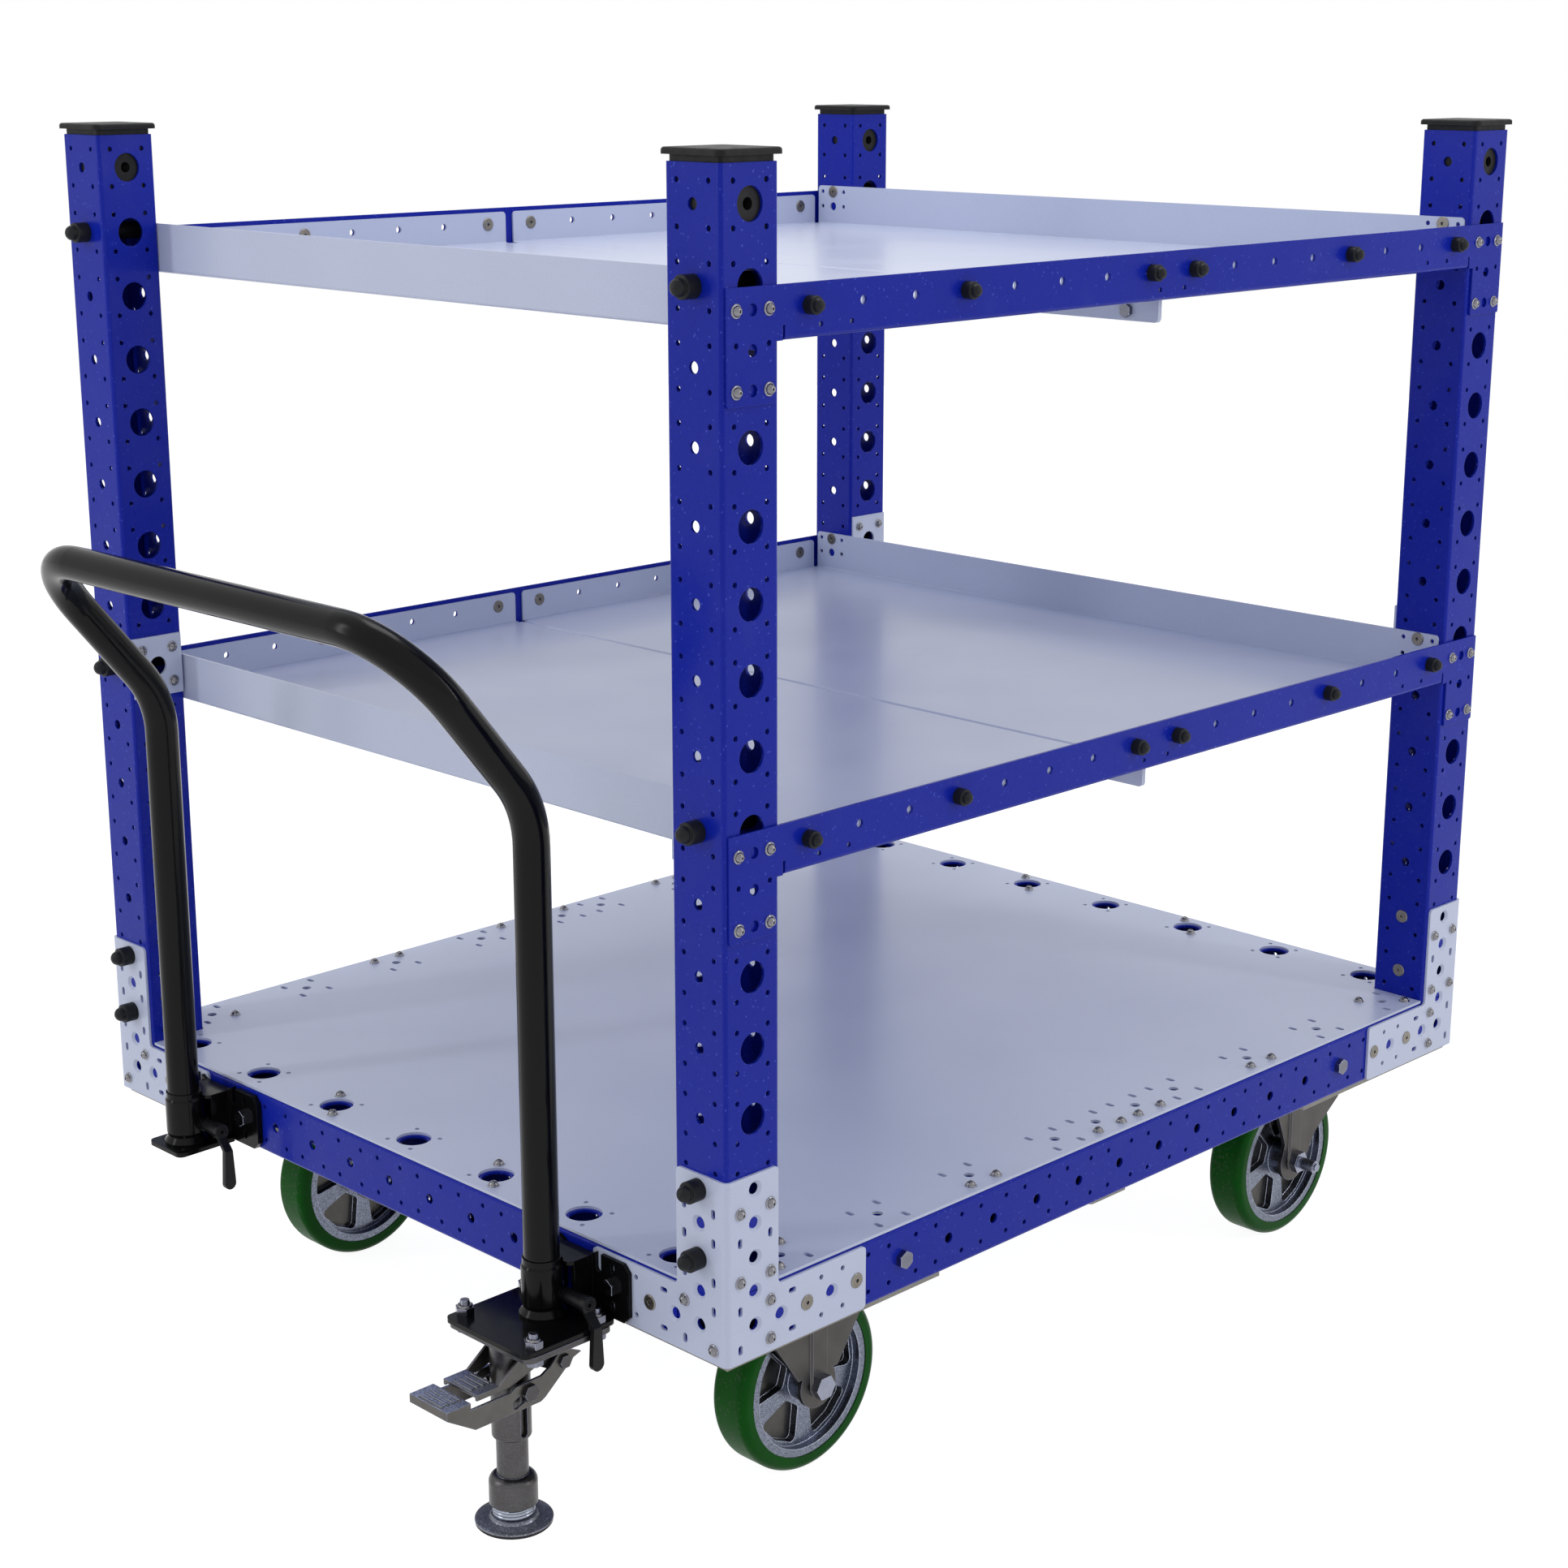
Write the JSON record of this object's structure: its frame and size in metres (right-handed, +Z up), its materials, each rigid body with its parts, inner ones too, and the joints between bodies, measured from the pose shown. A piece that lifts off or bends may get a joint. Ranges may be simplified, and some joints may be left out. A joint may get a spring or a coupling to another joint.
{
  "type": "industrial shelf trolley",
  "caption": "Three-level industrial trolley of perforated square tube: deck, two tray shelves, tubular pull handle, two rigid and two swivel casters and a pedal floor lock.",
  "frame": {"origin": "middle of the cart's overall length and width, on the floor", "axes": "+X along the length, from the handle end to the far end; +Y across, to the left of someone who looks along +X; +Z up"},
  "size_m": [1.5017, 1.09, 1.37],
  "materials": {
    "blue_paint": "gloss metal-flake paint",
    "white_coat": "satin powder coat",
    "black_plastic": "matte, fine grain",
    "grey_plate": "zinc-plated",
    "bright_screw": "bright plated",
    "dark_screw": "turned",
    "cap_plastic": "satin moulded",
    "zinc_hex": "zinc-plated",
    "black_gloss": "gloss",
    "black_lever": "satin",
    "fork_steel": "satin plated",
    "cast_aluminium": "as cast",
    "green_tyre": "satin polyurethane",
    "axle_steel": "turned",
    "lock_steel": "satin plated",
    "pedal_steel": "satin plated"
  },
  "bodies": {
    "frame": {"axles_front": "axle_steel", "base_beam_front": "blue_paint", "base_beam_left": "blue_paint", "base_beam_rear": "blue_paint", "base_beam_right": "blue_paint", "bolt_caps": "cap_plastic", "button_screws": "bright_screw", "caster_fork_front_left": "fork_steel", "caster_fork_front_right": "fork_steel", "corner_bracket_front_left": "white_coat", "corner_bracket_front_right": "white_coat", "corner_bracket_rear_left": "white_coat", "corner_bracket_rear_right": "white_coat", "cross_beam_front": "blue_paint", "cross_beam_rear": "blue_paint", "deck_panel": "white_coat", "flat_screws": "dark_screw", "frame_plates": "grey_plate", "handle_bracket_left": "black_gloss", "handle_bracket_right": "black_gloss", "handle_socket_left": "black_gloss", "handle_socket_right": "black_gloss", "hex_bolts": "zinc_hex", "lock_housing": "lock_steel", "post_caps": "black_plastic", "post_front_left": "blue_paint", "post_front_right": "blue_paint", "post_rear_left": "blue_paint", "post_rear_right": "blue_paint", "post_spacers": "black_plastic", "post_stiffeners": "white_coat", "rail_middle_left": "blue_paint", "rail_middle_right": "blue_paint", "rail_top_left": "blue_paint", "rail_top_right": "blue_paint", "swivel_plate_left": "fork_steel", "swivel_plate_right": "fork_steel", "tray_middle_front": "white_coat", "tray_middle_rear": "white_coat", "tray_top_front": "white_coat", "tray_top_rear": "white_coat"},
    "handle": {"handle_tube": "black_gloss"},
    "lever_right": {"clamp_lever_right": "black_lever"},
    "lever_left": {"clamp_lever_left": "black_lever"},
    "wheel_front_right": {"wheel_core_front_right": "cast_aluminium", "tyre_front_right": "green_tyre"},
    "wheel_front_left": {"wheel_core_front_left": "cast_aluminium", "tyre_front_left": "green_tyre"},
    "swivel_right": {"caster_fork_rear_right": "fork_steel", "axle_rear_right": "axle_steel"},
    "swivel_left": {"caster_fork_rear_left": "fork_steel", "axle_rear_left": "axle_steel"},
    "wheel_rear_right": {"wheel_core_rear_right": "cast_aluminium", "tyre_rear_right": "green_tyre"},
    "wheel_rear_left": {"wheel_core_rear_left": "cast_aluminium", "tyre_rear_left": "green_tyre"},
    "lock_plunger_body": {"lock_plunger": "lock_steel", "lock_foot": "lock_steel"},
    "lock_pedal_body": {"lock_pedal": "pedal_steel"},
    "release_pedal_body": {"release_pedal": "pedal_steel"}
  },
  "joints": [
    {"name": "front_right_wheel_spin", "type": "hinge", "parent": "frame", "child": "wheel_front_right", "pos_m": [-0.30514, -0.385, 0.1], "axis": [0, 1, 0], "continuous": true},
    {"name": "front_left_wheel_spin", "type": "hinge", "parent": "frame", "child": "wheel_front_left", "pos_m": [-0.30514, 0.385, 0.1], "axis": [0, 1, 0], "continuous": true},
    {"name": "rear_right_swivel", "type": "hinge", "parent": "frame", "child": "swivel_right", "pos_m": [0.58286, -0.385, 0.2], "axis": [0, 0, 1], "continuous": true},
    {"name": "rear_left_swivel", "type": "hinge", "parent": "frame", "child": "swivel_left", "pos_m": [0.58286, 0.385, 0.2], "axis": [0, 0, 1], "continuous": true},
    {"name": "rear_right_wheel_spin", "type": "hinge", "parent": "swivel_right", "child": "wheel_rear_right", "pos_m": [0.54786, -0.385, 0.1], "axis": [0, 1, 0], "continuous": true},
    {"name": "rear_left_wheel_spin", "type": "hinge", "parent": "swivel_left", "child": "wheel_rear_left", "pos_m": [0.54786, 0.385, 0.1], "axis": [0, 1, 0], "continuous": true},
    {"name": "handle_slide", "type": "slide", "parent": "frame", "child": "handle", "axis": [0, 0, 1], "range_m": [0, 0.055]},
    {"name": "right_clamp_lever", "type": "hinge", "parent": "frame", "child": "lever_right", "pos_m": [-0.57714, -0.315, 0.266], "axis": [0, 1, 0], "range_deg": [0, 100]},
    {"name": "left_clamp_lever", "type": "hinge", "parent": "frame", "child": "lever_left", "pos_m": [-0.57714, 0.315, 0.266], "axis": [0, 1, 0], "range_deg": [0, 100]},
    {"name": "lock_pedal_press", "type": "hinge", "parent": "frame", "child": "lock_pedal_body", "pos_m": [-0.58614, -0.315, 0.2], "axis": [0, -1, 0], "range_deg": [0, 25.8], "stiffness_Nm_per_rad": 3, "springref_deg": -45.84},
    {"name": "lock_plunger_drop", "type": "slide", "parent": "frame", "child": "lock_plunger_body", "axis": [0, 0, -1], "range_m": [0, 0.031]},
    {"name": "release_pedal_press", "type": "hinge", "parent": "frame", "child": "release_pedal_body", "pos_m": [-0.61714, -0.315, 0.216], "axis": [0, -1, 0], "range_deg": [0, 12], "stiffness_Nm_per_rad": 0.5, "springref_deg": -28.65}
  ],
  "couplings": [
    {"joint": "lock_plunger_drop", "follows": "lock_pedal_press", "m_per_rad": 0.06882}
  ]
}
